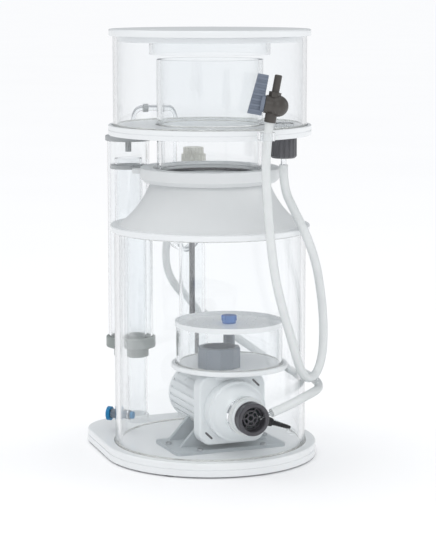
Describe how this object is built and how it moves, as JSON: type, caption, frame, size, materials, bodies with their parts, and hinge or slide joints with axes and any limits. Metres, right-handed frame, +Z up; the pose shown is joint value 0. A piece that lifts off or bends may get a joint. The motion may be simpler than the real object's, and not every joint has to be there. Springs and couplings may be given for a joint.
{
  "type": "protein skimmer",
  "caption": "Internal-pump protein skimmer: clear reaction body with flared cone, lift-off collection cup with lid and drain tap, bubble plate, needle-wheel pump, regulator and air silencer.",
  "frame": {"origin": "on the body tube's axis, at the underside of the middle foot", "axes": "+Z up along the body tube; -Y is the front, where the pump's water inlet comes through the body wall"},
  "size_m": [0.2293, 0.2876, 0.446],
  "materials": {
    "pvc_white": "white PVC sheet, satin gloss",
    "pvc_cone": "turned light grey PVC",
    "acrylic_clear": "cast acrylic tube, polished",
    "rubber_black": "soft rubber",
    "pvc_dark": "dark grey PVC",
    "pvc_grey": "blue-grey PVC",
    "pump_white": "moulded white ABS",
    "pump_dark": "moulded dark ABS",
    "bracket_grey": "grey moulded plastic",
    "knob_blue": "blue moulded plastic",
    "knob_clear_blue": "translucent blue moulded plastic",
    "knob_grey": "light grey moulded plastic",
    "cap_grey": "grey PVC",
    "hose_white": "translucent white silicone hose",
    "tap_dark": "dark moulded plastic",
    "lever_blue_grey": "blue-grey moulded plastic",
    "steel": "stainless steel",
    "ceramic": "polished ceramic",
    "magnet": "coated ferrite magnet",
    "copper_potting": "potted stator"
  },
  "bodies": {
    "skimmer": {"base_feet": "rubber_black", "base_plate": "pvc_white", "base_deck": "pvc_white", "pipe_feet": "pvc_white", "body_tube": "acrylic_clear", "body_flange": "pvc_white", "body_cone": "pvc_cone", "neck_seal": "rubber_black", "silencer_pipe": "acrylic_clear", "silencer_tube": "acrylic_clear", "silencer_collar": "cap_grey", "silencer_spacer": "cap_grey", "silencer_cap": "cap_grey", "silencer_arch": "acrylic_clear", "arch_joint": "pvc_dark", "outlet_pipe": "acrylic_clear", "outlet_spout": "acrylic_clear", "outlet_cap": "pvc_white", "pump_barrel": "pump_white", "pump_casing": "pump_white", "pump_volute": "pump_white", "pump_inlet": "pump_dark", "inlet_strainer": "pump_dark", "inlet_grommet": "hose_white", "air_nozzle": "acrylic_clear", "pump_stator": "copper_potting", "pump_shaft": "ceramic", "shaft_bushes": "rubber_black", "pump_bracket": "bracket_grey", "bracket_screws": "steel", "cable_gland": "rubber_black", "chamber_disc": "pvc_white", "chamber_wall": "acrylic_clear", "bubble_plate": "pvc_white", "chamber_post": "pvc_grey", "drain_stub": "pvc_grey", "air_hose": "hose_white"},
    "rotor": {"rotor_magnet": "magnet", "needle_wheel": "pump_white"},
    "ring": {"locking_ring": "pvc_cone"},
    "regulator": {"regulator_knob": "knob_grey", "regulator_rod": "pvc_dark", "regulator_plug": "pvc_dark"},
    "union": {"union_nut": "pvc_grey"},
    "plate_screw": {"plate_knob": "knob_clear_blue"},
    "body_drain": {"drain_knob": "knob_blue"},
    "cup": {"neck_tube": "acrylic_clear", "cup_floor_lower": "pvc_white", "cup_floor_upper": "pvc_white", "cup_wall": "acrylic_clear", "cup_drain_fitting": "acrylic_clear", "drain_hose": "hose_white", "hose_clip": "acrylic_clear", "tap_body": "tap_dark"},
    "drain_nut": {"cup_drain_nut": "pvc_dark"},
    "lever": {"tap_lever": "lever_blue_grey"},
    "lid": {"lid_plate": "pvc_white", "lid_collar": "acrylic_clear"}
  },
  "joints": [
    {"name": "lid_lift", "type": "slide", "parent": "cup", "child": "lid", "axis": [0, 0, 1], "range_m": [0, 0.12]},
    {"name": "cup_lift", "type": "slide", "parent": "skimmer", "child": "cup", "axis": [0, 0, 1], "range_m": [0, 0.16]},
    {"name": "ring_turn", "type": "hinge", "parent": "skimmer", "child": "ring", "pos_m": [0, 0, 0.296], "axis": [0, 0, 1], "range_deg": [0, 40]},
    {"name": "drain_nut_turn", "type": "hinge", "parent": "cup", "child": "drain_nut", "pos_m": [0.05728, -0.05868, 0.327], "axis": [0, 0, 1], "range_deg": [0, 360]},
    {"name": "tap_lever_turn", "type": "hinge", "parent": "cup", "child": "lever", "pos_m": [0.0179, -0.1205, 0.374], "axis": [0.9117, -0.3683, -0.1822], "range_deg": [0, 90]},
    {"name": "regulator_turn", "type": "hinge", "parent": "skimmer", "child": "regulator", "pos_m": [0.02419, 0.11478, 0.307], "axis": [0, 0, 1], "range_deg": [-180, 180]},
    {"name": "rotor_spin", "type": "hinge", "parent": "skimmer", "child": "rotor", "pos_m": [0, -0.02, 0.06], "axis": [0, -1, 0], "continuous": true},
    {"name": "union_nut_turn", "type": "hinge", "parent": "skimmer", "child": "union", "pos_m": [-0.00889, -0.04646, 0.112], "axis": [0, 0, 1], "range_deg": [0, 360]},
    {"name": "plate_screw_turn", "type": "hinge", "parent": "skimmer", "child": "plate_screw", "pos_m": [0.011, -0.0255, 0.15], "axis": [0, 0, 1], "range_deg": [0, 360]},
    {"name": "body_drain_turn", "type": "hinge", "parent": "skimmer", "child": "body_drain", "pos_m": [-0.07431, 0.06691, 0.034], "axis": [-0.7431, 0.6691, 0], "range_deg": [0, 360]}
  ]
}
